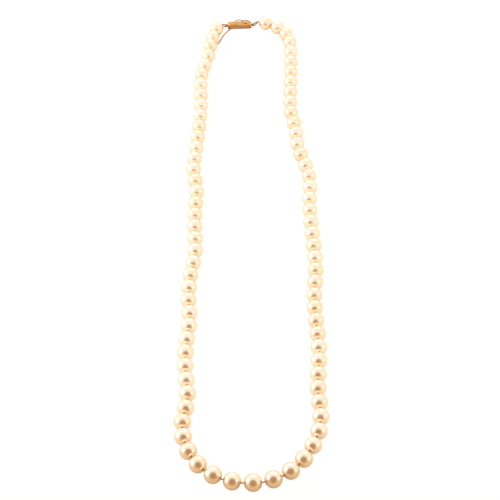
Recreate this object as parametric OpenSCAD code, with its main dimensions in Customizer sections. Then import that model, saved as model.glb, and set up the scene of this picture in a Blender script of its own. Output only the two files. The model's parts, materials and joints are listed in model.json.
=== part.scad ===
/* [Pearls] */
// Diameter of the pearls at the front of the loop
front_d = 7.3; // [7.1:0.05:7.35]
// How much smaller the pearls are beside the clasp
graduation = 0.9; // [0.8:0.05:1.1]
// Natural variation in the diameter of a pearl
variation = 0.04; // [0:0.01:0.06]
// Diameter of the hole drilled through a pearl
hole_d = 0.8; // [0.7:0.05:1]

/* [Thread] */
// Diameter of the silk thread
thread_d = 0.5; // [0.4:0.05:0.6]
// Diameter of a knot between two pearls
knot_d = 0.74; // [0.6:0.02:0.76]
// Gap between the unknotted pearls beside the clasp
touch_gap = 0.26; // [0.24:0.02:0.3]
// How much wider the gaps are at the front of the loop
front_slack = 0.45; // [0:0.05:0.6]
// Diameter of the coiled wire that guards the thread at the clasp
gimp_d = 0.5; // [0.4:0.05:0.5]

/* [Clasp] */
// Length of the closed clasp without its eyes
clasp_l = 11.2; // [11:0.1:12]
// Width of the clasp
clasp_w = 3.2; // [3.2:0.1:3.6]
// Height of the clasp
clasp_h = 2.3; // [2.3:0.1:2.6]
// Thickness of the box's sheet
wall = 0.3; // [0.25:0.05:0.35]
// Length of the head that closes the mouth of the box
head_l = 2.1; // [2:0.1:2.2]
// Diameter of the wire of the safety catch
catch_wire_d = 0.4; // [0.3:0.05:0.4]

/* [Safety chain] */
// Diameter of the wire of a chain link
link_wire_d = 0.2; // [0.16:0.02:0.22]
// Number of links in the chain
link_count = 19; // [15:2:19]

/* [Hidden] */
// Where the strand runs, from the left side of the clasp round the front to its right side
strand_route = [
    [-15, 144], [-16.5, 138], [-18.5, 130], [-19, 124], [-20, 117], [-22.5, 108], [-23, 100],
    [-22.5, 86], [-23, 70], [-24, 58], [-25, 46], [-25.5, 38], [-23.5, 30], [-24, 16], [-24, 0],
    [-23.5, -14], [-25.5, -28], [-26, -44], [-25, -54], [-26.5, -68], [-26.5, -86], [-25, -99],
    [-27.5, -113], [-26.5, -122], [-24, -130], [-19.5, -137], [-13, -142], [-6, -144.5],
    [2, -145], [10, -143], [17, -138], [22, -131.5], [25.5, -124], [28, -116], [28.5, -107],
    [27.5, -94], [28.5, -72], [27.5, -56], [27, -40], [28, -26], [27.5, -10], [26.5, 4],
    [26, 20], [26.5, 34], [24.5, 44], [21, 56], [21, 66], [18.5, 79], [18.5, 94], [19, 110],
    [19, 126], [18, 135], [13, 142], [7, 145], [4, 146]
];
// Where the safety chain lies, from the clasp to its end ring
chain_route = [[-10.9, 141.6], [-12.4, 139.2], [-13.9, 135.4], [-15, 132.8], [-16.6, 131.3]];
// Moves the middle of the finished necklace onto the origin
middle = [-0.6, 0.1];

left_count = 40;
right_count = 42;
pearl_count = left_count + right_count;
touching_left = 3;
touching_right = 4;
// Knots at which the strand bends, counted along the route
left_cuts = [0, 3, 7, 14, 25, 36, 38, 40];
right_cuts = [82, 81, 77, 74, 68, 57, 48, 46, 44, 40];
hinge_gap = 0.06;
elbow_extra = 0.1;
open_gap = 0.45;
growth_shape = 0.7;
slack_spread = 5;

clasp_pos = [-5, 145.8];
clasp_turn = 3;
corner_r = 0.35;
mouth_x = clasp_l/2 - head_l;
cap_t = 0.4;
eye_z = clasp_h/2;
eye_r = 0.55;
eye_wire_d = 0.44;
ring_sunk = 0.05;
gimp_bend_r = 0.56;
gimp_spread = 0.2;
gimp_end_gap = 0.2;
plate_w = 2.2;
plate_t = 0.24;
plate_z = wall + 0.08;
plate_in = 0.1;
plate_fold = 0.2;
head_seam = 0.03;
tip_x = 1 - clasp_l/2;
leaf_w = 2;
leaf_t = 0.2;
leaf_pin_r = 0.12;
leaf_z = plate_z + plate_t + leaf_pin_r + 0.02;
leaf_rise = 7.2;
leaf_end_gap = 0.3;
tab_w = 0.9;
tab_l = 0.6;
tab_up = 0.25;
tab_sunk = 0.12;
notch_l = 1.2;
notch_gap = 0.15;
flute_d = 0.24;
flute_step = 0.5;
flute_side = 1;
flute_up = 0.04;
flute_end = 0.3;
catch_x = -1.9;
catch_z = 1.5;
catch_off = 0.45;
big_loop = [1.15, 1];
small_loop = [0.9, 1.2];
knuckle_h = 0.5;
knuckle_d = 0.84;
foot_l = 0.6;
foot_w = 0.3;
running_fit = 0.05;
stud_d = 0.4;
stud_h = 0.2;
stud_back = 0.65;
stud_x = catch_x + 2*big_loop[0] + big_loop[1] + 2*small_loop[0] + small_loop[1] - stud_back;
anchor_x = 1 - clasp_l/2;
anchor_r = 0.35;
anchor_wire_d = 0.24;
anchor_z = 0.42;
link_bend_r = 0.3;
link_straight = 0.4;
link_play = 0.06;
link_lead = 0.05;
link_pitch = link_straight + 2*link_bend_r - link_wire_d - link_play;
end_ring_r = 0.8;
end_ring_wire_d = 0.3;
end_ring_gap = 0.02;
over = 1;

gold = "goldenrod";
silk = "peru";

// Smooth curve through hand-set points
function spline_point(a, b, c, d, t) =
    (2*b + (c - a)*t + (2*a - 5*b + 4*c - d)*t*t + (3*b - a - 3*c + d)*t*t*t)/2;
function spline(p, steps = 12) = concat(
    [for (i = [0:len(p) - 2], j = [0:steps - 1])
        spline_point(p[max(i - 1, 0)], p[i], p[i + 1], p[min(i + 2, len(p) - 1)], j/steps)],
    [p[len(p) - 1]]);
function distances(line) = [
    for (i = 0, s = 0; i < len(line); s = s + norm(line[min(i + 1, len(line) - 1)] - line[i]), i = i + 1) s];
function along(line, marks, s) = [
    lookup(s, [for (i = [0:len(line) - 1]) [marks[i], line[i][0]]]),
    lookup(s, [for (i = [0:len(line) - 1]) [marks[i], line[i][1]]])];
function heading(v) = atan2(v[1], v[0]);

// Pearls grow from the clasp to the front, and no two are quite alike
function pearl_d(i) =
    front_d - graduation*pow(abs(i + 0.5 - left_count)/right_count, growth_shape) + variation*sin(137*i);
function knotted(k) = k == 0 || k == pearl_count
    || (k >= touching_left && k <= pearl_count - touching_right);
function sum(v) = v*[for (x = v) 1];

strand_line = spline([for (p = strand_route) p + middle]);
strand_marks = distances(strand_line);
strand_length = strand_marks[len(strand_marks) - 1];
function slack(k) = 1 + front_slack*exp(-pow((k - left_count - 0.5)/slack_spread, 2));
knotted_slack = sum([for (k = [1:pearl_count - 1]) if (knotted(k)) slack(k)]) + 1;
touching = touching_left + touching_right - 2;
knot_gap = (strand_length - sum([for (i = [0:pearl_count - 1]) pearl_d(i)]) - touching*touch_gap)
    /knotted_slack;
function gap(k) = knotted(k) ? knot_gap*slack(k) : touch_gap;
knot_marks = [
    for (i = 0, s = 0; i <= pearl_count; s = s + pearl_d(i) + (gap(i) + gap(i + 1))/2, i = i + 1) s];
knots = [for (s = knot_marks) along(strand_line, strand_marks, s)];
function link_heading(i) = heading(knots[i + 1] - knots[i]);
function knot_z(k) = (pearl_d(max(k - 1, 0)) + pearl_d(min(k, pearl_count - 1)))/4;
function knot_pos(k) = [knots[k][0], knots[k][1], knot_z(k)];
function pearl_pos(i) =
    let (link = knots[i + 1] - knots[i], share = (gap(i) + pearl_d(i))/(gap(i) + 2*pearl_d(i) + gap(i + 1)))
    [knots[i][0] + link[0]*share, knots[i][1] + link[1]*share, pearl_d(i)/2];

function to_clasp(p) = [
    clasp_pos[0] + middle[0] + p[0]*cos(clasp_turn) - p[1]*sin(clasp_turn),
    clasp_pos[1] + middle[1] + p[0]*sin(clasp_turn) + p[1]*cos(clasp_turn), p[2]];
eye_reach = clasp_l/2 + eye_r - ring_sunk;
left_pivot = to_clasp([-eye_reach, 0, eye_z]);
right_pivot = to_clasp([eye_reach, 0, eye_z]);
anchor_pivot = to_clasp([anchor_x, -clasp_w/2 - 2*anchor_r + ring_sunk, anchor_z]);

chain_line = spline(concat([[anchor_pivot[0], anchor_pivot[1]]], [for (p = chain_route) p + middle]));
chain_marks = distances(chain_line);

module in_clasp() {
    translate([clasp_pos[0] + middle[0], clasp_pos[1] + middle[1], 0]) rotate([0, 0, clasp_turn]) children();
}

// A straight rod between two points
module rod(a, b, d, sides = 24) {
    v = b - a;
    translate(a) rotate([0, acos(v[2]/norm(v)), heading(v)]) cylinder(d = d, h = norm(v), $fn = sides);
}

// A ring of round wire standing in the XZ plane, its sides drawn apart along X
module wire_loop(bend_r, straight, wire_d, sides = 48) {
    for (side = [0, 1]) rotate([0, 180*side, 0]) {
        translate([straight/2, 0, 0]) rotate([90, 90, 0])
            rotate_extrude(angle = 180, $fn = sides) translate([bend_r, 0]) circle(d = wire_d, $fn = 24);
        if (straight > 0) translate([-straight/2, 0, bend_r]) rotate([0, 90, 0])
            cylinder(d = wire_d, h = straight, $fn = 24);
    }
}

module flat_ring(bend_r, wire_d) {
    rotate_extrude($fn = 48) translate([bend_r, 0]) circle(d = wire_d, $fn = 24);
}

// Pearls between two knots of the strand
module pearls(from, to) {
    for (i = [from:to - 1]) color("ivory") translate(pearl_pos(i)) rotate([0, 90, link_heading(i)])
        rotate_extrude($fn = 64) difference() {
            circle(d = pearl_d(i), $fn = 64);
            translate([-pearl_d(i), -pearl_d(i)]) square([pearl_d(i) + hole_d/2, 2*pearl_d(i)]);
        }
}

// Thread from knot a to knot b with the knots named, cut back where another length bends against it
module thread(a, b, owned, trim_a, trim_b) {
    color(silk) union() {
        for (i = [min(a, b):max(a, b) - 1]) {
            z = pearl_d(i)/2;
            start = [knots[i][0], knots[i][1], z];
            stop = [knots[i + 1][0], knots[i + 1][1], z];
            way = (stop - start)/norm(stop - start);
            cut_start = i == min(a, b) ? trim_a : 0;
            cut_stop = i == max(a, b) - 1 ? trim_b : 0;
            rod(start + way*cut_start, stop - way*cut_stop, thread_d);
        }
        for (k = owned) translate(knot_pos(k)) rotate([0, 0, 90 + link_heading(min(k, pearl_count - 1))])
            sphere(d = knotted(k) ? knot_d : thread_d + elbow_extra, $fn = 32);
    }
}

module left_thread(n) {
    a = left_cuts[n];
    b = left_cuts[n + 1];
    thread(a, b, [for (k = [(n == 0 ? 0 : a + 1):b]) k], n == 0 ? 0 : knot_d/2 + hinge_gap, 0);
}

module right_thread(n) {
    a = right_cuts[n];
    b = right_cuts[n + 1];
    last = n == len(right_cuts) - 2;
    thread(b, a, [for (k = [(last ? b + 1 : b):(n == 0 ? a : a - 1)]) k],
        last ? knot_d/2 + open_gap : 0, n == 0 ? 0 : knot_d/2 + hinge_gap);
}

// Coiled wire bent round the far side of the clasp's eye and drawn in to the first knot
module gimp(eye_middle, knot) {
    turn = heading(knot - eye_middle);
    pivot = eye_middle + eye_r*[cos(turn), sin(turn), 0];
    span = norm(knot - pivot);
    rise = asin((knot[2] - pivot[2])/span);
    color(gold) translate(pivot) rotate([0, -rise, turn]) {
        rotate([90, 90, 180]) rotate_extrude(angle = 180, $fn = 48)
            translate([gimp_bend_r, 0]) circle(d = gimp_d, $fn = 24);
        for (side = [-1, 1]) {
            bend = [0, 0, side*gimp_bend_r];
            neck = [span - knot_d/2 - gimp_end_gap, 0, side*gimp_spread];
            translate(bend) sphere(d = gimp_d, $fn = 24);
            rod(bend, neck, gimp_d);
        }
    }
}

// Cross-section of the clasp, standing on its flat back
module clasp_profile() {
    w = clasp_w/2 - corner_r;
    polygon([for (c = [[w, corner_r, -90], [w, clasp_h - corner_r, 0], [-w, clasp_h - corner_r, 90],
        [-w, corner_r, 180]], t = [0:15:90]) [c[0] + corner_r*cos(c[2] + t), c[1] + corner_r*sin(c[2] + t)]]);
}

module clasp_bar(x0, x1) {
    translate([x0, 0, 0]) rotate([90, 0, 90]) linear_extrude(x1 - x0) clasp_profile();
}

module flutes(x0, x1) {
    for (y = [-flute_side:flute_step:flute_side])
        translate([x0 + flute_end, y, clasp_h + flute_up]) rotate([0, 90, 0])
            cylinder(d = flute_d, h = x1 - x0 - 2*flute_end, $fn = 24);
}

module clasp_box() {
    color(gold) in_clasp() difference() {
        clasp_bar(cap_t - clasp_l/2, mouth_x);
        translate([-over - clasp_l/2, wall - clasp_w/2, wall])
            cube([mouth_x + clasp_l/2 + 2*over, clasp_w - 2*wall, clasp_h - 2*wall]);
        flutes(cap_t - clasp_l/2, mouth_x);
        translate([mouth_x - notch_l, -tab_w/2 - notch_gap, clasp_h/2])
            cube([notch_l + over, tab_w + 2*notch_gap, clasp_h]);
    }
}

module box_end_plate() {
    color(gold) in_clasp() clasp_bar(-clasp_l/2, cap_t - clasp_l/2);
}

module eye(side) {
    color(gold) in_clasp() translate([side*eye_reach, 0, eye_z]) difference() {
        flat_ring(eye_r, eye_wire_d);
        translate([side*(ring_sunk - eye_r - over), 0, 0]) cube(2*over, center = true);
    }
}

module catch_knuckle() {
    color(gold) in_clasp() difference() {
        union() {
            translate([catch_x, clasp_w/2 + catch_off, catch_z - knuckle_h/2])
                cylinder(d = knuckle_d, h = knuckle_h, $fn = 32);
            translate([catch_x - foot_l/2, clasp_w/2, catch_z - knuckle_h/2])
                cube([foot_l, foot_w, knuckle_h]);
        }
        translate([catch_x, clasp_w/2 + catch_off, catch_z - over])
            cylinder(d = catch_wire_d + 2*running_fit, h = 2*over, $fn = 32);
    }
}

module chain_anchor() {
    color(gold) in_clasp() translate([anchor_x, ring_sunk - clasp_w/2 - anchor_r, anchor_z]) difference() {
        flat_ring(anchor_r, anchor_wire_d);
        translate([0, anchor_r + over - ring_sunk, 0]) cube(2*over, center = true);
    }
}

module safety_catch() {
    big_x = catch_x + big_loop[0] + big_loop[1]/2;
    small_x = catch_x + 2*big_loop[0] + big_loop[1] + small_loop[0] + small_loop[1]/2;
    color(gold) in_clasp() translate([0, clasp_w/2 + catch_off, catch_z]) {
        translate([big_x, 0, 0]) wire_loop(big_loop[0], big_loop[1], catch_wire_d);
        translate([small_x, 0, 0]) wire_loop(small_loop[0], small_loop[1], catch_wire_d);
    }
}

module tongue_plate() {
    color(gold) in_clasp() translate([tip_x - plate_fold, -plate_w/2, plate_z])
        cube([mouth_x + plate_in - tip_x + plate_fold, plate_w, plate_t]);
}

module tongue_head() {
    color(gold) in_clasp() difference() {
        clasp_bar(mouth_x + head_seam, clasp_l/2);
        translate([mouth_x - over, -plate_w/2, plate_z]) cube([over + plate_in, plate_w, plate_t]);
        flutes(mouth_x + head_seam, clasp_l/2);
    }
}

module catch_stud() {
    color(gold) in_clasp() translate([stud_x, clasp_w/2, catch_z]) rotate([-90, 0, 0])
        cylinder(d = stud_d, h = stud_h, $fn = 24);
}

module spring_leaf() {
    reach = mouth_x - leaf_end_gap - tip_x;
    lift = reach*tan(leaf_rise);
    color(gold) in_clasp() translate([tip_x, 0, leaf_z]) {
        rotate([90, 0, 0]) cylinder(r = leaf_pin_r, h = leaf_w, center = true, $fn = 24);
        rotate([0, -leaf_rise, 0]) translate([0, -leaf_w/2, -leaf_t/2])
            cube([reach/cos(leaf_rise), leaf_w, leaf_t]);
        translate([reach - tab_l, -tab_w/2, lift - tab_sunk])
            cube([tab_l, tab_w, clasp_h + tab_up - leaf_z - lift + tab_sunk]);
    }
}

module safety_chain() {
    for (n = [0:link_count - 1]) {
        a = along(chain_line, chain_marks, max(n*link_pitch - link_lead, 0));
        b = along(chain_line, chain_marks, (n + 1)*link_pitch - link_lead);
        mid = (a + b)/2;
        color(gold) translate([mid[0], mid[1], anchor_z]) rotate([0, 0, heading(b - a)])
            rotate([n % 2 == 0 ? 0 : 90, 0, 0]) wire_loop(link_bend_r, link_straight, link_wire_d, 24);
    }
}

module chain_end_ring() {
    a = along(chain_line, chain_marks, (link_count - 1)*link_pitch - link_lead);
    b = along(chain_line, chain_marks, link_count*link_pitch - link_lead);
    way = (b - a)/norm(b - a);
    centre = (a + b)/2 + way*(link_straight/2 + end_ring_gap + end_ring_r);
    color(gold) translate([centre[0], centre[1], anchor_z]) flat_ring(end_ring_r, end_ring_wire_d);
}

left_segments = len(left_cuts) - 1;
right_segments = len(right_cuts) - 1;

clasp_box();
box_end_plate();
eye(-1);  // box_eye
catch_knuckle();
chain_anchor();
safety_catch();
tongue_plate();
tongue_head();
eye(1);  // tongue_eye
catch_stud();
spring_leaf();
safety_chain();
chain_end_ring();
gimp(left_pivot, knot_pos(0));  // gimp_left
gimp(right_pivot, knot_pos(pearl_count));  // gimp_right
for (n = [1:left_segments]) {
    pearls(left_cuts[n - 1], left_cuts[n]);
    left_thread(n - 1);
}
for (n = [1:right_segments]) {
    pearls(right_cuts[n], right_cuts[n - 1]);
    right_thread(n - 1);
}
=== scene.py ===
import json
import math
import random
import bmesh
import bpy
from mathutils import Matrix, Vector, noise


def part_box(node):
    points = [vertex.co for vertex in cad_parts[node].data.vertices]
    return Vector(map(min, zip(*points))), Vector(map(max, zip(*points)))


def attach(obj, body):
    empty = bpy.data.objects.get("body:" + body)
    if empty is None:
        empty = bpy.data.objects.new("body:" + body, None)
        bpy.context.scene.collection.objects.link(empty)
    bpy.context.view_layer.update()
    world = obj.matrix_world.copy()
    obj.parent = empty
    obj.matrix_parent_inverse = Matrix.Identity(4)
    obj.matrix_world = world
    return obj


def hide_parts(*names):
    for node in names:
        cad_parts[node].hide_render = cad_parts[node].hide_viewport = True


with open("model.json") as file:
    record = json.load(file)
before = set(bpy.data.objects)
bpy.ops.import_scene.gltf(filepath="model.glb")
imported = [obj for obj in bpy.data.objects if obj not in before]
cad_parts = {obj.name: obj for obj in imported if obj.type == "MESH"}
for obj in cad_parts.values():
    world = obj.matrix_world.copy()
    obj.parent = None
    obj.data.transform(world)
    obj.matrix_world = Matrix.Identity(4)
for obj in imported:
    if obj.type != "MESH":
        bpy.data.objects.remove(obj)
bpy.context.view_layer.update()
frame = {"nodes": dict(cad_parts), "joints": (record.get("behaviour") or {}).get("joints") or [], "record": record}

mm = 0.001
nodes = frame["nodes"]
joints = {joint["name"]: joint for joint in frame["joints"]}
bodyOf = {node: body for body, held in frame["record"]["behaviour"]["bodies"].items() for node in held}


def hexColour(text):  # an sRGB hex colour as the linear values that a shader takes
    channels = [int(text[i:i + 2], 16) / 255 for i in (1, 3, 5)]
    return [c / 12.92 if c <= 0.04045 else ((c + 0.055) / 1.055) ** 2.4 for c in channels] + [1.0]


def addNode(tree, kind, settings=None, links=None):
    node = tree.nodes.new(kind)
    sockets = lambda name: [s for s in node.inputs if s.name == name and s.enabled]
    for name, value in (settings or {}).items():
        if hasattr(node, name):
            setattr(node, name, value)
        else:
            sockets(name)[0].default_value = value
    for name, source in (links or {}).items():
        tree.links.new(source, sockets(name)[0])
    return node


def newMaterial(name, settings):
    material = bpy.data.materials.new(name)
    material.use_nodes = True
    tree = material.node_tree
    tree.nodes.clear()
    shader = addNode(tree, "ShaderNodeBsdfPrincipled", settings)
    output = addNode(tree, "ShaderNodeOutputMaterial")
    tree.links.new(shader.outputs["BSDF"], output.inputs["Surface"])
    return material, tree, shader


nacre = {
    "cream": "#FFF6E5",
    "rose": "#FFEFD6",
    "shade": "#FAE4C2",  # the thinner nacre in the cloudy patches
    "rim": "#FFEDD4",
    "cloudSize": 2.6,
    "wrinkleSize": 0.9,
    "wrinkleDepth": 0.002,
}


def pearlNacre():
    # cultured pearl, tumbled and buffed: a soft mirror lying on a warm cream body, peach towards the edge
    material, tree, shader = newMaterial("pearlNacre", {
        "Metallic": 0.88, "IOR": 1.55, "Specular Tint": hexColour(nacre["rim"]),
        "Coat Weight": 0.35, "Coat Roughness": 0.14, "Coat IOR": 1.5})
    place = addNode(tree, "ShaderNodeTexCoord").outputs["Object"]
    tone = addNode(tree, "ShaderNodeAttribute", {"attribute_name": "tone"}).outputs["Fac"]
    cloud = addNode(tree, "ShaderNodeTexNoise", {
        "Scale": 1 / (nacre["cloudSize"] * mm), "Detail": 2.0}, {"Vector": place}).outputs["Fac"]
    body = addNode(tree, "ShaderNodeMix", {
        "data_type": "RGBA", "A": hexColour(nacre["cream"]), "B": hexColour(nacre["rose"])}, {"Factor": tone})
    patch = addNode(tree, "ShaderNodeMapRange", {
        "From Min": 0.5, "From Max": 0.8, "To Min": 0.0, "To Max": 0.35}, {"Value": cloud})
    clouded = addNode(tree, "ShaderNodeMix", {
        "data_type": "RGBA", "B": hexColour(nacre["shade"])},
        {"A": body.outputs["Result"], "Factor": patch.outputs["Result"]})
    tree.links.new(clouded.outputs["Result"], shader.inputs["Base Color"])
    satin = addNode(tree, "ShaderNodeMapRange", {
        "From Min": 0.3, "From Max": 0.7, "To Min": 0.25, "To Max": 0.33}, {"Value": cloud})
    tree.links.new(satin.outputs["Result"], shader.inputs["Roughness"])
    wrinkle = addNode(tree, "ShaderNodeTexNoise", {
        "Scale": 1 / (nacre["wrinkleSize"] * mm), "Detail": 3.0}, {"Vector": place}).outputs["Fac"]
    bump = addNode(tree, "ShaderNodeBump", {
        "Strength": 0.35, "Distance": nacre["wrinkleDepth"] * mm}, {"Height": wrinkle})
    tree.links.new(bump.outputs["Normal"], shader.inputs["Normal"])
    return material


silk = {"thread": "#C79C56", "worn": "#966B30", "fibre": 0.06, "fibreDepth": 0.012}


def twistedSilk():
    # waxed silk bead cord, gone tan with wear: dull, with fine fibres and darker where it is handled
    material, tree, shader = newMaterial("twistedSilk", {
        "Roughness": 0.72, "Sheen Weight": 0.35, "Sheen Roughness": 0.4, "IOR": 1.54})
    place = addNode(tree, "ShaderNodeTexCoord").outputs["Object"]
    stain = addNode(tree, "ShaderNodeTexNoise", {"Scale": 1 / (1.4 * mm), "Detail": 3.0}, {"Vector": place})
    colour = addNode(tree, "ShaderNodeMix", {
        "data_type": "RGBA", "A": hexColour(silk["thread"]), "B": hexColour(silk["worn"])},
        {"Factor": stain.outputs["Fac"]})
    tree.links.new(colour.outputs["Result"], shader.inputs["Base Color"])
    fibre = addNode(tree, "ShaderNodeTexNoise", {
        "Scale": 1 / (silk["fibre"] * mm), "Detail": 2.0}, {"Vector": place})
    bump = addNode(tree, "ShaderNodeBump", {
        "Strength": 0.6, "Distance": silk["fibreDepth"] * mm}, {"Height": fibre.outputs["Fac"]})
    tree.links.new(bump.outputs["Normal"], shader.inputs["Normal"])
    return material


def goldAlloy(name, alloy):
    # drawn or rolled gold alloy: its own colour, hairline scratches and a duller film in patches
    material, tree, shader = newMaterial(name, {"Metallic": 1.0, "Roughness": alloy["polish"]})
    place = addNode(tree, "ShaderNodeTexCoord").outputs["Object"]
    along = addNode(tree, "ShaderNodeMapping", {
        "Rotation": (0, 0, math.radians(-alloy.get("turned", 0))), "Scale": alloy.get("grain", (1, 1, 1))},
        {"Vector": place})
    film = addNode(tree, "ShaderNodeTexNoise", {
        "Scale": 1 / (alloy["filmSize"] * mm), "Detail": 4.0}, {"Vector": place}).outputs["Fac"]
    hairline = addNode(tree, "ShaderNodeTexNoise", {
        "Scale": 1 / (alloy["hairline"] * mm), "Detail": 3.0}, {
            "Vector": along.outputs["Vector"]}).outputs["Fac"]
    tarnish = addNode(tree, "ShaderNodeMapRange", {
        "From Min": 0.45, "From Max": 0.75, "To Min": 0.0, "To Max": alloy["tarnish"]}, {"Value": film})
    colour = addNode(tree, "ShaderNodeMix", {
        "data_type": "RGBA", "A": hexColour(alloy["bright"]), "B": hexColour(alloy["dull"])},
        {"Factor": tarnish.outputs["Result"]})
    tree.links.new(colour.outputs["Result"], shader.inputs["Base Color"])
    rough = addNode(tree, "ShaderNodeMapRange", {
        "From Min": 0.3, "From Max": 0.75, "To Min": alloy["polish"], "To Max": alloy["polish"] + 0.2},
        {"Value": hairline})
    tree.links.new(rough.outputs["Result"], shader.inputs["Roughness"])
    bump = addNode(tree, "ShaderNodeBump", {
        "Strength": 0.5, "Distance": alloy["hairlineDepth"] * mm}, {"Height": hairline})
    tree.links.new(bump.outputs["Normal"], shader.inputs["Normal"])
    return material


claspAlloy = {  # rolled sheet, satin from years of handling, with hairlines along the clasp
    "bright": "#CC9B62", "dull": "#966837", "polish": 0.26, "tarnish": 0.8, "filmSize": 1.3,
    "hairline": 0.09, "hairlineDepth": 0.006, "grain": (0.06, 1, 1), "turned": 3}
wireAlloy = {  # drawn wire, bright on its crest
    "bright": "#B07A3E", "dull": "#6A4520", "polish": 0.2, "tarnish": 0.9, "filmSize": 0.8,
    "hairline": 0.12, "hairlineDepth": 0.004}
gimpAlloy = {  # very fine wire wound into a soft coil, a darker gold dulled in random patches
    "bright": "#B98045", "dull": "#6E4620", "polish": 0.3, "tarnish": 1.0, "filmSize": 0.5,
    "hairline": 0.08, "hairlineDepth": 0.003}
chainAlloy = {  # thin soldered links, worn bright where they rub
    "bright": "#D09E60", "dull": "#946636", "polish": 0.22, "tarnish": 0.6, "filmSize": 0.6,
    "hairline": 0.1, "hairlineDepth": 0.003}

nacreFinish = pearlNacre()
silkFinish = twistedSilk()
claspFinish = goldAlloy("satinGoldSheet", claspAlloy)
wireFinish = goldAlloy("drawnGoldWire", wireAlloy)
gimpFinish = goldAlloy("coiledGoldGimp", gimpAlloy)
chainFinish = goldAlloy("fineGoldChain", chainAlloy)
print("materials made:", len(bpy.data.materials))


def joinPart(bm, part, place=Matrix.Identity(4)):  # a finished shape goes to its place in the piece
    bmesh.ops.recalc_face_normals(part, faces=part.faces)
    bmesh.ops.transform(part, matrix=place, verts=part.verts)
    carrier = bpy.data.meshes.new("carrier")
    part.to_mesh(carrier)
    part.free()
    bm.from_mesh(carrier)
    bpy.data.meshes.remove(carrier)


# The shape, in mm, becomes a piece in metres, smooth but for edges sharper than the crease
def finishPiece(bm, name, finish, node, crease=40, toneOf=None):
    bmesh.ops.scale(bm, vec=(mm, mm, mm), verts=bm.verts)
    for face in bm.faces:
        face.smooth = True
    for edge in bm.edges:
        edge.smooth = edge.calc_face_angle(0.0) < math.radians(crease)
    mesh = bpy.data.meshes.new(name)
    bm.to_mesh(mesh)
    bm.free()
    if toneOf:
        mesh.attributes.new("tone", "FLOAT", "POINT").data.foreach_set("value", toneOf)
    mesh.materials.append(finish)
    piece = bpy.data.objects.new(name, mesh)
    bpy.context.scene.collection.objects.link(piece)
    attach(piece, bodyOf[node])
    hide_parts(node)
    return piece


def islandsOf(node):  # the separate solids that a CAD node holds, as lists of vertices in mm
    bm = bmesh.new()
    bm.from_mesh(nodes[node].data)
    bmesh.ops.scale(bm, vec=(1 / mm, 1 / mm, 1 / mm), verts=bm.verts)
    bmesh.ops.remove_doubles(bm, verts=bm.verts, dist=0.001)
    seen, islands = set(), []
    for start in bm.verts:
        if start in seen:
            continue
        seen.add(start)
        island = [start]
        for vert in island:
            for edge in vert.link_edges:
                other = edge.other_vert(vert)
                if other not in seen:
                    seen.add(other)
                    island.append(other)
        islands.append(island)
    return bm, islands


def middleOf(island):
    low = Vector([min(vert.co[i] for vert in island) for i in range(3)])
    high = Vector([max(vert.co[i] for vert in island) for i in range(3)])
    return (low + high) / 2, high - low


def readPearls(node):  # centre, radius and drilled direction of each pearl
    bm, islands = islandsOf(node)
    found = []
    for island in islands:
        centre = middleOf(island)[0]
        edges = [edge for vert in island for edge in vert.link_edges if edge.verts[0] == vert]
        longest = max(edge.calc_length() for edge in edges)
        bore = Vector()
        for edge in edges:
            if edge.calc_length() > 0.98 * longest:  # only the walls of the hole have edges this long
                way = edge.verts[1].co - edge.verts[0].co
                bore += way if way.dot(bore) >= 0 else -way
        radius = sum((vert.co - centre).length for vert in island) / len(island)
        found.append({"node": node, "centre": centre, "radius": radius, "bore": bore.normalized()})
    bm.free()
    return found


def inOrder(found, start):  # walks along the strand from one end, always to the nearest pearl that is left
    walked, here = [], start
    while found:
        pearl = min(found, key=lambda one: (one["centre"] - here).length)
        found.remove(pearl)
        if pearl["bore"].dot(pearl["centre"] - here) < 0:
            pearl["bore"].negate()
        walked.append(pearl)
        here = pearl["centre"]
    return walked


leftPivot = Vector(joints["strand_turn"]["pos_m"]) / mm
rightPivot = Vector(joints["right_eye_turn"]["pos_m"]) / mm
strand = inOrder([one for node in nodes if node.startswith("pearls_") for one in readPearls(node)], leftPivot)
print("pearls read from the frame:", len(strand))

pearl = {
    "hole": 0.4,  # radius of the drilled hole
    "chamfer": 0.07,  # how far the hole's edge is eased
    "arcSteps": 30,
    "turnSteps": 56,
    "outOfRound": 0.014,  # deepest dip below a true sphere, as a share of the radius
    "dipSize": 1.3,  # dips are about as wide as this share of the radius
}


def addPearl(bm, one, seed):
    draw = random.Random(seed)
    part = bmesh.new()
    edgeAngle = math.asin(pearl["hole"] / one["radius"])
    edgeHeight = one["radius"] * math.cos(edgeAngle)
    first = part.verts.new((pearl["hole"], 0, edgeHeight))
    arc = bmesh.ops.spin(part, geom=[first], cent=(0, 0, 0), axis=(0, 1, 0), dvec=(0, 0, 0),
                         angle=math.pi - 2 * edgeAngle, steps=pearl["arcSteps"])
    last = [item for item in arc["geom_last"] if isinstance(item, bmesh.types.BMVert)][0]
    part.edges.new((last, first))
    bmesh.ops.spin(part, geom=part.verts[:] + part.edges[:], cent=(0, 0, 0), axis=(0, 0, 1), dvec=(0, 0, 0),
                   angle=math.tau, steps=pearl["turnSteps"], use_merge=True)
    bmesh.ops.remove_doubles(part, verts=part.verts, dist=0.0005)
    sharp = [edge for edge in part.edges if edge.calc_face_angle(0.0) > 0.8
             and edge.calc_length() < pearl["hole"]]
    bmesh.ops.bevel(part, geom=sharp, offset=pearl["chamfer"], offset_type="OFFSET", affect="EDGES",
                    segments=3, profile=0.5, material=-1)
    shift = Vector([draw.uniform(-50, 50) for axis in range(3)])
    for vert in part.verts:
        dip = 0.5 + 0.5 * noise.noise(vert.co / (pearl["dipSize"] * one["radius"]) + shift)
        vert.co *= 1 - pearl["outOfRound"] * min(max(dip, 0), 1)
    count = len(part.verts)
    place = (Matrix.Translation(one["centre"]) @ one["bore"].to_track_quat("Z", "Y").to_matrix().to_4x4()
             @ Matrix.Rotation(draw.uniform(0, math.tau), 4, "Z"))
    joinPart(bm, part, place)
    return [draw.random()] * count


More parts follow.
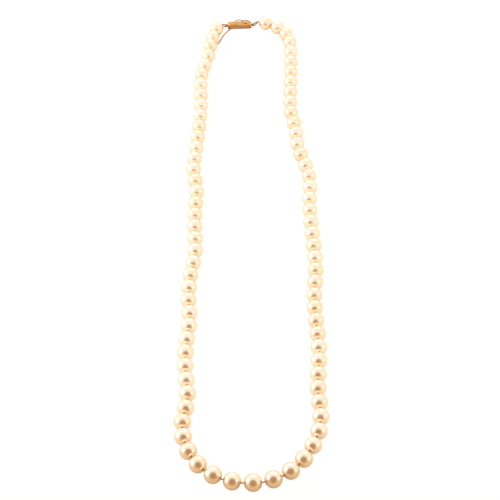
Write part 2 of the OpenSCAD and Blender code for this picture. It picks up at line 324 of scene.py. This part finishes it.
def pearlPiece(node):
    bm = bmesh.new()
    tones = []
    for seed, one in enumerate(strand):
        if one["node"] == node:
            tones += addPearl(bm, one, seed)
    return finishPiece(bm, node + "_nacre", nacreFinish, node, 50, tones)


pearlNodes = sorted(node for node in nodes if node.startswith("pearls_"))
for node in pearlNodes:
    pearlPiece(node)
print("pearl lengths made:", len(pearlNodes))

thread = {
    "ply": 0.15,  # radius of one of the two plies
    "plyOff": 0.099,  # how far the middle of a ply lies from the middle of the thread
    "plySides": 8,
    "layStops": 14,  # cross-sections in one turn of the plies
    "leastStops": 6,
    "halfGap": 0.39,  # from the last pearl's skin to the middle of the end knot
    "lay": 1.3,  # length in which the plies go once round each other
    "touching": 0.5,  # narrower gaps than this have no knot
    "wraps": [  # each loop of the knot: tilt, turn, bend radius, thickness, place along the thread
        (24, 0, 0.2, 0.165, -0.07), (-32, 70, 0.19, 0.17, 0.02), (14, 150, 0.2, 0.16, 0.1)],
}


def gapBefore(k):  # clear distance between two neighbouring pearls
    if k in (0, len(strand)):
        return 2 * thread["halfGap"]
    before, after = strand[k - 1], strand[k]
    return (after["centre"] - before["centre"]).length - before["radius"] - after["radius"]


def knotPoint(k):  # the middle of the gap, where the thread of one pearl meets the next one's
    points = []
    reach = gapBefore(k) / 2
    if k > 0:
        before = strand[k - 1]
        points.append(before["centre"] + before["bore"] * (before["radius"] + reach))
    if k < len(strand):
        after = strand[k]
        points.append(after["centre"] - after["bore"] * (after["radius"] + reach))
    return sum(points, Vector()) / len(points)


def addTwist(bm, start, stop):  # two-ply thread, its plies turning about each other
    part = bmesh.new()
    length = (stop - start).length
    steps = max(int(thread["layStops"] * length / thread["lay"]), thread["leastStops"])
    for side in (-1, 1):
        ply = bmesh.ops.create_circle(part, cap_ends=True, radius=thread["ply"], segments=thread["plySides"],
                                      matrix=Matrix.Translation((side * thread["plyOff"], 0, 0)))
        faces = list({face for vert in ply["verts"] for face in vert.link_faces})
        bmesh.ops.spin(part, geom=faces, cent=(0, 0, 0), axis=(0, 0, 1), dvec=(0, 0, length / steps),
                       angle=math.tau * length / thread["lay"], steps=steps)
    along = (stop - start).to_track_quat("Z", "Y").to_matrix().to_4x4()
    joinPart(bm, part, Matrix.Translation(start) @ along)


def ringPart(bendRadius, wireRadius, steps, sides, straight=0.0):  # a flat wire ring, drawn apart along X
    part = bmesh.new()
    half = math.pi / steps
    circle = bmesh.ops.create_circle(part, radius=wireRadius, segments=sides,
                                     matrix=Matrix.Rotation(half, 4, "Z")
                                     @ Matrix.Translation((0, bendRadius, 0))
                                     @ Matrix.Rotation(math.pi / 2, 4, "Y"))
    edges = list({edge for vert in circle["verts"] for edge in vert.link_edges})
    bmesh.ops.spin(part, geom=circle["verts"] + edges, cent=(0, 0, 0), axis=(0, 0, 1), dvec=(0, 0, 0),
                   angle=math.tau, steps=steps, use_merge=True)
    bmesh.ops.remove_doubles(part, verts=part.verts, dist=0.0002)
    for vert in part.verts:
        vert.co.x += math.copysign(straight / 2, vert.co.x)
    return part


def addKnot(bm, k):  # an overhand knot pulled tight against the pearls
    towards = strand[min(k, len(strand) - 1)]["bore"]
    place = (Matrix.Translation(knotPoint(k)) @ towards.to_track_quat("Z", "Y").to_matrix().to_4x4()
             @ Matrix.Rotation(math.radians(137.5 * k), 4, "Z"))
    for tilt, turn, bend, thick, shift in thread["wraps"]:
        wrap = (Matrix.Translation((0, 0, shift)) @ Matrix.Rotation(math.radians(turn), 4, "Z")
                @ Matrix.Rotation(math.radians(tilt), 4, "X"))
        joinPart(bm, ringPart(bend, thick, 18, 10), place @ wrap)


# The thread through each pearl of a length, with the knots on the side nearer the clasp
def threadPiece(node):
    bm = bmesh.new()
    beads = node.replace("thread_", "pearls_")
    onLeft = node.startswith("thread_left")
    middle = len([one for one in strand if one["node"].startswith("pearls_left")])
    for i, one in enumerate(strand):
        if one["node"] != beads:
            continue
        addTwist(bm, knotPoint(i), knotPoint(i + 1))
        owned = [i + 1] if onLeft else [i]
        if onLeft and i == 0:
            owned.append(0)
        if i == len(strand) - 1:
            owned.append(len(strand))
        for k in owned:
            if gapBefore(k) > thread["touching"] and (onLeft or k != middle):
                addKnot(bm, k)
    return finishPiece(bm, node + "_silk", silkFinish, node, 60)


threadNodes = sorted(node for node in nodes if node.startswith("thread_"))
for node in threadNodes:
    threadPiece(node)
print("thread lengths made:", len(threadNodes))

clasp = {
    "length": 11.2,
    "width": 3.2,
    "height": 2.3,
    "corner": 0.35,
    "sheet": 0.3,
    "cap": 0.4,  # thickness of the plate that closes the back of the box
    "head": 2.1,  # length of the block that closes the mouth
    "seam": 0.03,  # gap between the mouth and the head
    "fluteStep": 0.5,
    "fluteWide": 0.17,
    "fluteDeep": 0.09,
    "fluteEnd": 0.3,  # plain margin at the ends of the flutes
    "fluteFade": 0.12,  # length in which a flute reaches its full depth
    "topFlutes": 5,
    "sideFlutes": (0.7, 1.15, 1.6),
    "tabWide": 0.9,
    "notchLong": 1.2,
    "notchGap": 0.15,
    "edge": 0.05,
}
claspWay = Vector(joints["clasp_slide"]["axis"])
claspTurn = math.atan2(claspWay.y, claspWay.x)
lowBox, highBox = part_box("clasp_box")
capLow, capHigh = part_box("box_end_plate")
headLow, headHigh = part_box("tongue_head")
claspMiddle = Vector([(min(a, b, c) + max(d, e, f)) / 2 / mm for a, b, c, d, e, f in zip(
    lowBox, capLow, headLow, highBox, capHigh, headHigh)])
claspMiddle.z = 0
onClasp = Matrix.Translation(claspMiddle) @ Matrix.Rotation(claspTurn, 4, "Z")
mouth = clasp["length"] / 2 - clasp["head"]
backEnd = -clasp["length"] / 2


def cutLoops(part, axis, values):
    normal = Vector([1.0 if i == axis else 0.0 for i in range(3)])
    for value in values:
        bmesh.ops.bisect_plane(part, geom=part.verts[:] + part.edges[:] + part.faces[:], dist=1e-5,
                               plane_co=normal * value, plane_no=normal)


def barPart(start, stop, fluted, sides=True):  # a length of the clasp's outer section, fluted along its faces
    part = bmesh.new()
    size = Matrix.Diagonal((stop - start, clasp["width"], clasp["height"], 1))
    middle = Matrix.Translation(((start + stop) / 2, 0, clasp["height"] / 2))
    bmesh.ops.create_cube(part, size=1, matrix=middle @ size)
    lengthwise = [edge for edge in part.edges if abs(edge.verts[0].co.x - edge.verts[1].co.x) > clasp["edge"]]
    bmesh.ops.bevel(part, geom=lengthwise, offset=clasp["corner"], offset_type="OFFSET", affect="EDGES",
                    segments=6, profile=0.5, material=-1)
    if not fluted:
        return part
    half = clasp["fluteWide"] / 2
    shares = (-1, -0.55, 0, 0.55, 1)
    topFlutes = [clasp["fluteStep"] * (i - (clasp["topFlutes"] - 1) / 2) for i in range(clasp["topFlutes"])]
    margin, fade = clasp["fluteEnd"], clasp["fluteFade"]
    cutLoops(part, 0, (start + margin, start + margin + fade, stop - margin - fade, stop - margin))
    cutLoops(part, 1, [y + share * half for y in topFlutes for share in shares])
    if sides:
        cutLoops(part, 2, [z + share * half for z in clasp["sideFlutes"] for share in shares])

    def depth(offset, x):
        across = max(1 - (offset / half) ** 2, 0)
        ends = min(max(min(x - start - margin, stop - margin - x) / fade, 0), 1)
        return clasp["fluteDeep"] * across * ends

    for vert in part.verts:
        x, y, z = vert.co
        if z > clasp["height"] - 1e-4:
            vert.co.z -= depth(min((y - flute for flute in topFlutes), key=abs), x)
        elif sides and abs(y) > clasp["width"] / 2 - 1e-4:
            off = min((z - flute for flute in clasp["sideFlutes"]), key=abs)
            vert.co.y -= math.copysign(depth(off, x), y)
    return part


def easeEdges(part, width, sharperThan=60, segments=2):
    edges = [edge for edge in part.edges if math.degrees(edge.calc_face_angle(0.0)) > sharperThan]
    bmesh.ops.bevel(part, geom=edges, offset=width, offset_type="OFFSET", affect="EDGES", segments=segments,
                    profile=0.5, material=-1, clamp_overlap=True)


def boxPart(low, high):
    part = bmesh.new()
    middle = (Vector(low) + Vector(high)) / 2
    bmesh.ops.create_cube(part, size=1, matrix=Matrix.Translation(middle)
                          @ Matrix.Diagonal((*(Vector(high) - Vector(low)), 1)))
    return part


def claspBoxPiece():  # folded sheet, open at the back for its end plate and at the mouth for the tongue
    part = barPart(backEnd + clasp["cap"], mouth, True)
    halfNotch = clasp["tabWide"] / 2 + clasp["notchGap"]
    cutLoops(part, 0, (mouth - clasp["notchLong"],))
    cutLoops(part, 1, (-halfNotch, halfNotch))
    ends = [face for face in part.faces if abs(face.normal.x) > 0.99]
    notch = [face for face in part.faces if face.normal.z > 0.5
             and abs(face.calc_center_median().y) < halfNotch
             and face.calc_center_median().x > mouth - clasp["notchLong"]]
    bmesh.ops.delete(part, geom=ends + notch, context="FACES")
    bmesh.ops.solidify(part, geom=part.faces[:], thickness=clasp["sheet"])
    easeEdges(part, clasp["edge"])
    bm = bmesh.new()
    joinPart(bm, part, onClasp)
    return finishPiece(bm, "clasp_box_shell", claspFinish, "clasp_box")


def endPlatePiece():
    part = barPart(backEnd, backEnd + clasp["cap"], False)
    easeEdges(part, clasp["edge"])
    bm = bmesh.new()
    joinPart(bm, part, onClasp)
    return finishPiece(bm, "box_end_cap", claspFinish, "box_end_plate")


grip = {"start": 0.45, "stop": 1.65, "low": 0.55, "high": 1.75, "deep": 0.3, "cuts": 4, "bowl": 0.7}


def headPiece():  # solid block with a scooped finger grip in each side
    start = mouth + clasp["seam"]
    part = barPart(start, clasp["length"] / 2, True, False)
    middleX, halfX = start + (grip["start"] + grip["stop"]) / 2, (grip["stop"] - grip["start"]) / 2
    middleZ, halfZ = (grip["low"] + grip["high"]) / 2, (grip["high"] - grip["low"]) / 2
    shares = [step / grip["cuts"] for step in range(-grip["cuts"], grip["cuts"] + 1)]
    cutLoops(part, 0, [middleX + share * halfX for share in shares])
    cutLoops(part, 2, [middleZ + share * halfZ for share in shares])
    for vert in part.verts:
        if abs(vert.co.y) > clasp["width"] / 2 - 1e-4:
            away = math.hypot((vert.co.x - middleX) / halfX, (vert.co.z - middleZ) / halfZ)
            scoop = grip["deep"] * math.cos(min(away, 1) * math.pi / 2) ** grip["bowl"]
            vert.co.y -= math.copysign(scoop, vert.co.y)
    easeEdges(part, clasp["edge"])
    bm = bmesh.new()
    joinPart(bm, part, onClasp)
    return finishPiece(bm, "tongue_head_block", claspFinish, "tongue_head")


eye = {"bend": 0.55, "wire": 0.22, "sunk": 0.05, "solder": 0.3, "solderIn": 0.12, "solderFlat": 0.35}


def eyePiece(side, node):  # a soldered ring that the thread's gimp passes through
    bm = bmesh.new()
    centre = Vector((side * (clasp["length"] / 2 + eye["bend"] - eye["sunk"]), 0, clasp["height"] / 2))
    joinPart(bm, ringPart(eye["bend"], eye["wire"], 40, 18), onClasp @ Matrix.Translation(centre))
    for across in (-1, 1):
        part = bmesh.new()
        bmesh.ops.create_uvsphere(part, u_segments=20, v_segments=12, radius=eye["solder"])
        offCentre = across * (eye["bend"] - eye["solderIn"])
        spot = Vector((side * clasp["length"] / 2, offCentre, clasp["height"] / 2))
        joinPart(bm, part, onClasp @ Matrix.Translation(spot) @ Matrix.Diagonal((eye["solderFlat"], 1, 1, 1)))
    return finishPiece(bm, node + "_ring", wireFinish, node)


catch = {
    "pivot": (-1.9, 0.45, 1.5),  # along the clasp, out from its side, and up
    "wire": 0.2,
    "bigBend": 1.15,
    "bigStraight": 1.0,
    "smallBend": 0.9,
    "smallStraight": 1.2,
    "binding": 0.05,  # radius of the wire wound round the waist
    "bindingOut": 0.03,  # how far its middle stands off the catch's wire
    "bindingPitch": 0.095,
    "bindingTurns": 5,
    "knuckleTall": 0.5,
    "knuckleInner": 0.25,
    "knuckleOuter": 0.42,
    "footHalf": 0.3,
    "footOut": 0.17,
    "footIn": 0.1,
    "footShort": 0.02,
}
catchSide = clasp["width"] / 2 + catch["pivot"][1]


def safetyCatchPiece():  # one wire bent to a figure of eight and bound at its waist
    bm = bmesh.new()
    standing = Matrix.Rotation(math.pi / 2, 4, "X")
    x = catch["pivot"][0]
    loops = (catch["bigBend"], catch["bigStraight"]), (catch["smallBend"], catch["smallStraight"])
    for bend, straight in loops:
        centre = Matrix.Translation((x + bend + straight / 2, catchSide, catch["pivot"][2]))
        joinPart(bm, ringPart(bend, catch["wire"], 56, 16, straight), onClasp @ centre @ standing)
        x += 2 * bend + straight
    waist = catch["pivot"][0] + 2 * catch["bigBend"] + catch["bigStraight"]
    for turn in range(catch["bindingTurns"]):
        up = (turn - (catch["bindingTurns"] - 1) / 2) * catch["bindingPitch"]
        lift = Matrix.Translation((waist, catchSide, catch["pivot"][2] + up))
        ring = ringPart(catch["wire"] + catch["bindingOut"], catch["binding"], 24, 8, 2 * catch["wire"])
        joinPart(bm, ring, onClasp @ lift)
    return finishPiece(bm, "safety_catch_wire", wireFinish, "safety_catch")


def knucklePiece():  # the short tube that the catch swings in, with its foot on the box
    bm = bmesh.new()
    part = bmesh.new()
    tall, inner, outer = catch["knuckleTall"] / 2, catch["knuckleInner"], catch["knuckleOuter"]
    section = ((inner, -tall), (outer, -tall), (outer, tall), (inner, tall))
    corners = [part.verts.new((radius, 0, z)) for radius, z in section]
    for a, b in zip(corners, corners[1:] + corners[:1]):
        part.edges.new((a, b))
    bmesh.ops.spin(part, geom=part.verts[:] + part.edges[:], cent=(0, 0, 0), axis=(0, 0, 1), dvec=(0, 0, 0),
                   angle=math.tau, steps=36, use_merge=True)
    bmesh.ops.remove_doubles(part, verts=part.verts, dist=0.0005)
    easeEdges(part, 0.04, 50)
    joinPart(bm, part, onClasp @ Matrix.Translation((catch["pivot"][0], catchSide, catch["pivot"][2])))
    x, z, side = catch["pivot"][0], catch["pivot"][2], clasp["width"] / 2
    reach = tall - catch["footShort"]
    foot = boxPart((x - catch["footHalf"], side - catch["footIn"], z - reach),
                   (x + catch["footHalf"], side + catch["footOut"], z + reach))
    easeEdges(foot, 0.04)
    joinPart(bm, foot, onClasp)
    return finishPiece(bm, "catch_knuckle_tube", wireFinish, "catch_knuckle")


def centreOf(node):
    low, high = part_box(node)
    return (low + high) / 2 / mm


# Radius and height of the stud's dome at each step from its root in the box to its crown
studShape = ((0.0, -0.06), (0.2, -0.06), (0.2, 0.08), (0.15, 0.156), (0.08, 0.19), (0.0, 0.2))


def studPiece():  # a domed pip that the catch's small loop snaps over
    part = bmesh.new()
    points = [part.verts.new((radius, 0, up)) for radius, up in studShape]
    for a, b in zip(points, points[1:]):
        part.edges.new((a, b))
    bmesh.ops.spin(part, geom=part.verts[:] + part.edges[:], cent=(0, 0, 0), axis=(0, 0, 1), dvec=(0, 0, 0),
                   angle=math.tau, steps=28, use_merge=True)
    bmesh.ops.remove_doubles(part, verts=part.verts, dist=0.0005)
    bm = bmesh.new()
    local = onClasp.inverted() @ centreOf("catch_stud")
    joinPart(bm, part, onClasp @ Matrix.Translation((local.x, clasp["width"] / 2, local.z))
             @ Matrix.Rotation(-math.pi / 2, 4, "X"))
    return finishPiece(bm, "catch_stud_pip", wireFinish, "catch_stud")


tongue = {
    "tip": -4.6,  # the fold, measured from the middle of the clasp
    "width": 2.2,
    "plate": 0.24,
    "plateUp": 0.38,
    "leaf": 0.2,
    "leafWidth": 2.0,
    "leafRise": 7.2,
    "fold": 0.12,
    "foldLift": 0.02,
    "tipOver": 0.2,  # how far the plate runs on past the fold
    "headIn": 0.1,  # how far it is let into the head
    "leafShort": 0.3,  # gap between the leaf and the head
    "tabLong": 0.6,
    "tabTop": 2.55,
    "tabIn": 0.12,
    "ribs": (0.2, 0.32, 0.44, 0.56, 0.68, 0.8),
    "ribDeep": 0.05,
}


def tonguePlatePiece():
    part = boxPart((tongue["tip"] - tongue["tipOver"], -tongue["width"] / 2, tongue["plateUp"]),
                   (mouth + tongue["headIn"], tongue["width"] / 2, tongue["plateUp"] + tongue["plate"]))
    easeEdges(part, 0.05)
    bm = bmesh.new()
    joinPart(bm, part, onClasp)
    return finishPiece(bm, "tongue_plate_sheet", claspFinish, "tongue_plate")


def springLeafPiece():  # rises from the fold to a ribbed thumb tab in the notch
    bm = bmesh.new()
    tip, halfLeaf, halfTab = tongue["tip"], tongue["leafWidth"] / 2, clasp["tabWide"] / 2
    foldUp = tongue["plateUp"] + tongue["plate"] + tongue["fold"] + tongue["foldLift"]
    rise = math.radians(tongue["leafRise"])
    reach = (mouth - tongue["leafShort"] - tip) / math.cos(rise)
    root = onClasp @ Matrix.Translation((tip, 0, foldUp))
    fold = bmesh.new()
    bmesh.ops.create_cone(fold, cap_ends=True, segments=24, radius1=tongue["fold"], radius2=tongue["fold"],
                          depth=tongue["leafWidth"], matrix=Matrix.Rotation(math.pi / 2, 4, "X"))
    easeEdges(fold, 0.02)
    joinPart(bm, fold, root)
    strip = boxPart((0, -halfLeaf, -tongue["leaf"] / 2), (reach, halfLeaf, tongue["leaf"] / 2))
    easeEdges(strip, 0.04)
    joinPart(bm, strip, root @ Matrix.Rotation(-rise, 4, "Y"))
    end = tip + reach * math.cos(rise)
    stripTop = foldUp + reach * math.sin(rise)
    tab = boxPart((end - tongue["tabLong"], -halfTab, stripTop - tongue["tabIn"]),
                  (end, halfTab, tongue["tabTop"]))
    ribs = [end - tongue["tabLong"] + share * tongue["tabLong"] for share in tongue["ribs"]]
    cutLoops(tab, 0, ribs)
    for vert in tab.verts:
        if vert.co.z > tongue["tabTop"] - 1e-4 and any(abs(vert.co.x - rib) < 1e-4 for rib in ribs[1::2]):
            vert.co.z -= tongue["ribDeep"]
    easeEdges(tab, 0.03)
    joinPart(bm, tab, onClasp)
    return finishPiece(bm, "spring_leaf_strip", claspFinish, "spring_leaf")


claspBoxPiece()
endPlatePiece()
headPiece()
eyePiece(-1, "box_eye")
eyePiece(1, "tongue_eye")
safetyCatchPiece()
knucklePiece()
studPiece()
tonguePlatePiece()
springLeafPiece()
print("clasp made")

chain = {
    "bend": 0.3,
    "straight": 0.4,
    "wire": 0.1,
    "ringBend": 0.8,
    "ringWire": 0.15,
    "anchorBend": 0.35,
    "anchorWire": 0.12,
    "anchorSunk": 0.05,
    "solder": 0.22,
    "solderShape": (1.3, 0.4, 1),
}


def chainPiece():  # fine oval links, each turned a quarter from the last
    held, islands = islandsOf("safety_chain")
    bm = bmesh.new()
    for island in islands:
        centre, span = middleOf(island)
        far = max((vert.co - centre).length for vert in island)
        way = Vector()
        for vert in island:
            arm = vert.co - centre
            if arm.length > 0.96 * far:
                way += arm if arm.dot(way) >= 0 else -arm
        heading = Matrix.Rotation(math.atan2(way.y, way.x), 4, "Z")
        standing = span.z > chain["bend"] * 2
        tilt = Matrix.Rotation(math.pi / 2 if standing else 0, 4, "X")
        joinPart(bm, ringPart(chain["bend"], chain["wire"], 28, 12, chain["straight"]),
                 Matrix.Translation(centre) @ heading @ tilt)
    held.free()
    return finishPiece(bm, "safety_chain_links", chainFinish, "safety_chain")


def flatRingPiece(node, bend, wire, name):
    bm = bmesh.new()
    joinPart(bm, ringPart(bend, wire, 40, 16), Matrix.Translation(centreOf(node)))
    return finishPiece(bm, name, chainFinish, node)


def anchorPiece():  # a small ring let into the side of the box
    bm = bmesh.new()
    local = onClasp.inverted() @ centreOf("chain_anchor")
    spot = Vector((local.x, -clasp["width"] / 2 - chain["anchorBend"] + chain["anchorSunk"], local.z))
    ring = ringPart(chain["anchorBend"], chain["anchorWire"], 32, 14)
    joinPart(bm, ring, onClasp @ Matrix.Translation(spot))
    part = bmesh.new()
    bmesh.ops.create_uvsphere(part, u_segments=18, v_segments=10, radius=chain["solder"])
    joinPart(bm, part, onClasp @ Matrix.Translation((local.x, -clasp["width"] / 2, local.z))
             @ Matrix.Diagonal((*chain["solderShape"], 1)))
    return finishPiece(bm, "chain_anchor_ring", chainFinish, "chain_anchor")


chainPiece()
flatRingPiece("chain_end_ring", chain["ringBend"], chain["ringWire"], "chain_end_ring_wire")
anchorPiece()
print("safety chain made")

gimp = {
    "bend": 0.56,
    "coil": 0.195,
    "wire": 0.055,
    "pitch": 0.105,
    "neckSpread": 0.2,  # half the distance between its two ends beside the knot
    "neckShort": 0.57,  # gap between its ends and the middle of the knot
    "bendSteps": 24,
}


# Coiled wire drawn over the thread, round the clasp's eye and into the knot
def gimpPiece(node, eyeMiddle, knot):
    bm = bmesh.new()
    level = Vector((knot.x - eyeMiddle.x, knot.y - eyeMiddle.y, 0)).normalized()
    pivot = eyeMiddle + level * eye["bend"]
    span = knot - pivot
    rise = math.asin(span.z / span.length)
    frameIn = (Matrix.Translation(pivot) @ Matrix.Rotation(math.atan2(level.y, level.x), 4, "Z")
               @ Matrix.Rotation(-rise, 4, "Y"))
    bend, neckX = gimp["bend"], span.length - gimp["neckShort"]
    angles = [math.pi * step / gimp["bendSteps"] for step in range(gimp["bendSteps"] + 1)]
    path = [Vector((neckX, 0, gimp["neckSpread"]))]
    path += [Vector((-bend * math.sin(angle), 0, bend * math.cos(angle))) for angle in angles]
    path.append(Vector((neckX, 0, -gimp["neckSpread"])))
    due = 0.0
    for a, b in zip(path, path[1:]):
        length = (b - a).length
        while due < length:
            spot = Matrix.Translation(a.lerp(b, due / length))
            turn = (b - a).to_track_quat("Z", "Y").to_matrix().to_4x4()
            joinPart(bm, ringPart(gimp["coil"], gimp["wire"], 20, 8), frameIn @ spot @ turn)
            due += gimp["pitch"]
        due -= length
    return finishPiece(bm, node + "_coil", gimpFinish, node, 80)


gimpPiece("gimp_left", leftPivot, knotPoint(0))
gimpPiece("gimp_right", rightPivot, knotPoint(len(strand)))
print("gimps made")

view = {"target": (-0.6, -8.7, 0.0), "elevation": 43.5, "distance": 1064.0, "lens": 177.4, "sensor": 36.0}


def placeCamera():
    data = bpy.data.cameras.new("camera")
    data.lens = view["lens"]
    data.sensor_width = view["sensor"]
    data.clip_end = 20
    data.clip_start = 0.05
    camera = bpy.data.objects.new("camera", data)
    bpy.context.scene.collection.objects.link(camera)
    up = math.radians(view["elevation"])
    back = Vector((0, -math.cos(up), math.sin(up)))
    camera.location = (Vector(view["target"]) + back * view["distance"]) * mm
    camera.rotation_euler = back.to_track_quat("Z", "Y").to_euler()
    bpy.context.scene.camera = camera


studio = {
    "floorSize": 8.0,
    "cloth": "#FFF2E4",  # warm paper, as the pearls mirror it
    "shaded": "#CEB48B",  # painted shade: the same paper drawn darker in front of the loop, where the camera's shade would fall
    "shadeFrom": -0.09,
    "shadeTo": -0.17,
    "bleached": "#FFFFFF",  # the same paper as the exposure washes it out
    "wash": 0.86,  # how much of it is washed out, and how bright that is
    "washStrength": 1.1,
    "sky": "#FFF6EC",
    "skyStrength": 1.02,
    "dark": "#AB7434",  # the dim room behind the camera, close to the front of the loop
    "darkPlace": (0.0, -0.215, 0.09),
    "darkFull": 0.06,  # radius of the dark middle, and where it has faded out
    "darkNone": 0.2,
    "lamps": [  # name, place, size, power
        ("leftSoftbox", (-1.3, 0.1, 0.5), (1.3, 0.8), 5.5),
        ("rightSoftbox", (1.2, -0.4, 0.5), (0.4, 0.4), 0.5),
        ("backSoftbox", (0.0, 1.3, 1.1), (1.7, 0.8), 4.6)],
}


def layFloor():
    bm = bmesh.new()
    bmesh.ops.create_grid(bm, x_segments=1, y_segments=1, size=studio["floorSize"] / 2,
                          matrix=Matrix.Translation((0, 0, -0.02 * mm)))
    mesh = bpy.data.meshes.new("whiteTable")
    bm.to_mesh(mesh)
    bm.free()
    material, tree, shader = newMaterial("whiteTable", {"Roughness": 0.8})
    place = addNode(tree, "ShaderNodeTexCoord").outputs["Object"]
    forward = addNode(tree, "ShaderNodeSeparateXYZ", None, {"Vector": place}).outputs["Y"]
    # painted shade: the paper's colour is drawn darker towards the camera, in front of the loop, as if the
    # camera's shade fell there
    paintedShadeMask = addNode(tree, "ShaderNodeMapRange", {
        "interpolation_type": "SMOOTHSTEP", "From Min": studio["shadeFrom"], "From Max": studio["shadeTo"]},
        {"Value": forward})
    paper = addNode(tree, "ShaderNodeMix", {
        "data_type": "RGBA", "A": hexColour(studio["cloth"]), "B": hexColour(studio["shaded"])},
        {"Factor": paintedShadeMask.outputs["Result"]})
    tree.links.new(paper.outputs["Result"], shader.inputs["Base Color"])
    seen = addNode(tree, "ShaderNodeLightPath").outputs["Is Camera Ray"]
    share = addNode(tree, "ShaderNodeMath", {"operation": "MULTIPLY"})
    tree.links.new(seen, share.inputs[0])
    share.inputs[1].default_value = studio["wash"]
    washed = addNode(tree, "ShaderNodeEmission", {
        "Color": hexColour(studio["bleached"]), "Strength": studio["washStrength"]})
    mixed = addNode(tree, "ShaderNodeMixShader", None, {"Fac": share.outputs[0]})
    tree.links.new(shader.outputs["BSDF"], mixed.inputs[1])
    tree.links.new(washed.outputs["Emission"], mixed.inputs[2])
    output = next(node for node in tree.nodes if node.type == "OUTPUT_MATERIAL")
    tree.links.new(mixed.outputs["Shader"], output.inputs["Surface"])
    mesh.materials.append(material)
    table = bpy.data.objects.new("whiteTable", mesh)
    bpy.context.scene.collection.objects.link(table)


def hangDark():  # a soft-edged dark card that only the pearls and metal mirror
    size = 2 * studio["darkNone"]
    bm = bmesh.new()
    bmesh.ops.create_grid(bm, x_segments=1, y_segments=1, size=size / 2)
    mesh = bpy.data.meshes.new("darkCard")
    bm.to_mesh(mesh)
    bm.free()
    material = bpy.data.materials.new("darkCard")
    material.use_nodes = True
    tree = material.node_tree
    tree.nodes.clear()
    place = addNode(tree, "ShaderNodeTexCoord").outputs["Object"]
    away = addNode(tree, "ShaderNodeVectorMath", {"operation": "LENGTH"}, {"Vector": place})
    share = addNode(tree, "ShaderNodeMapRange", {
        "interpolation_type": "SMOOTHSTEP", "From Min": studio["darkFull"], "From Max": studio["darkNone"]},
        {"Value": away.outputs["Value"]})
    dim = addNode(tree, "ShaderNodeEmission", {"Color": hexColour(studio["dark"])})
    clear = addNode(tree, "ShaderNodeBsdfTransparent")
    mixed = addNode(tree, "ShaderNodeMixShader", None, {"Fac": share.outputs["Result"]})
    tree.links.new(dim.outputs["Emission"], mixed.inputs[1])
    tree.links.new(clear.outputs["BSDF"], mixed.inputs[2])
    addNode(tree, "ShaderNodeOutputMaterial", None, {"Surface": mixed.outputs["Shader"]})
    mesh.materials.append(material)
    card = bpy.data.objects.new("darkCard", mesh)
    bpy.context.scene.collection.objects.link(card)
    card.location = studio["darkPlace"]
    card.rotation_euler = Vector(studio["darkPlace"]).to_track_quat("Z", "Y").to_euler()
    card.visible_camera = False
    card.visible_diffuse = False
    card.visible_shadow = False


def lightRoom():
    world = bpy.data.worlds.new("room")
    world.use_nodes = True
    bpy.context.scene.world = world
    tree = world.node_tree
    tree.nodes.clear()
    room = addNode(tree, "ShaderNodeBackground", {
        "Color": hexColour(studio["sky"]), "Strength": studio["skyStrength"]})
    plain = addNode(tree, "ShaderNodeBackground", {"Color": hexColour(studio["bleached"]), "Strength": 1.0})
    seen = addNode(tree, "ShaderNodeLightPath").outputs["Is Camera Ray"]
    mixed = addNode(tree, "ShaderNodeMixShader", None, {"Fac": seen})
    tree.links.new(room.outputs["Background"], mixed.inputs[1])
    tree.links.new(plain.outputs["Background"], mixed.inputs[2])
    addNode(tree, "ShaderNodeOutputWorld", None, {"Surface": mixed.outputs["Shader"]})
    for name, place, size, power in studio["lamps"]:
        lamp = bpy.data.lights.new(name, "AREA")
        lamp.shape = "RECTANGLE"
        lamp.size, lamp.size_y = size
        lamp.energy = power
        holder = bpy.data.objects.new(name, lamp)
        bpy.context.scene.collection.objects.link(holder)
        holder.location = place
        holder.rotation_euler = Vector(place).to_track_quat("Z", "Y").to_euler()
        holder.visible_camera = False


placeCamera()
layFloor()
hangDark()
lightRoom()
bpy.context.scene.view_settings.view_transform = "Standard"
print("camera, table and lights set")
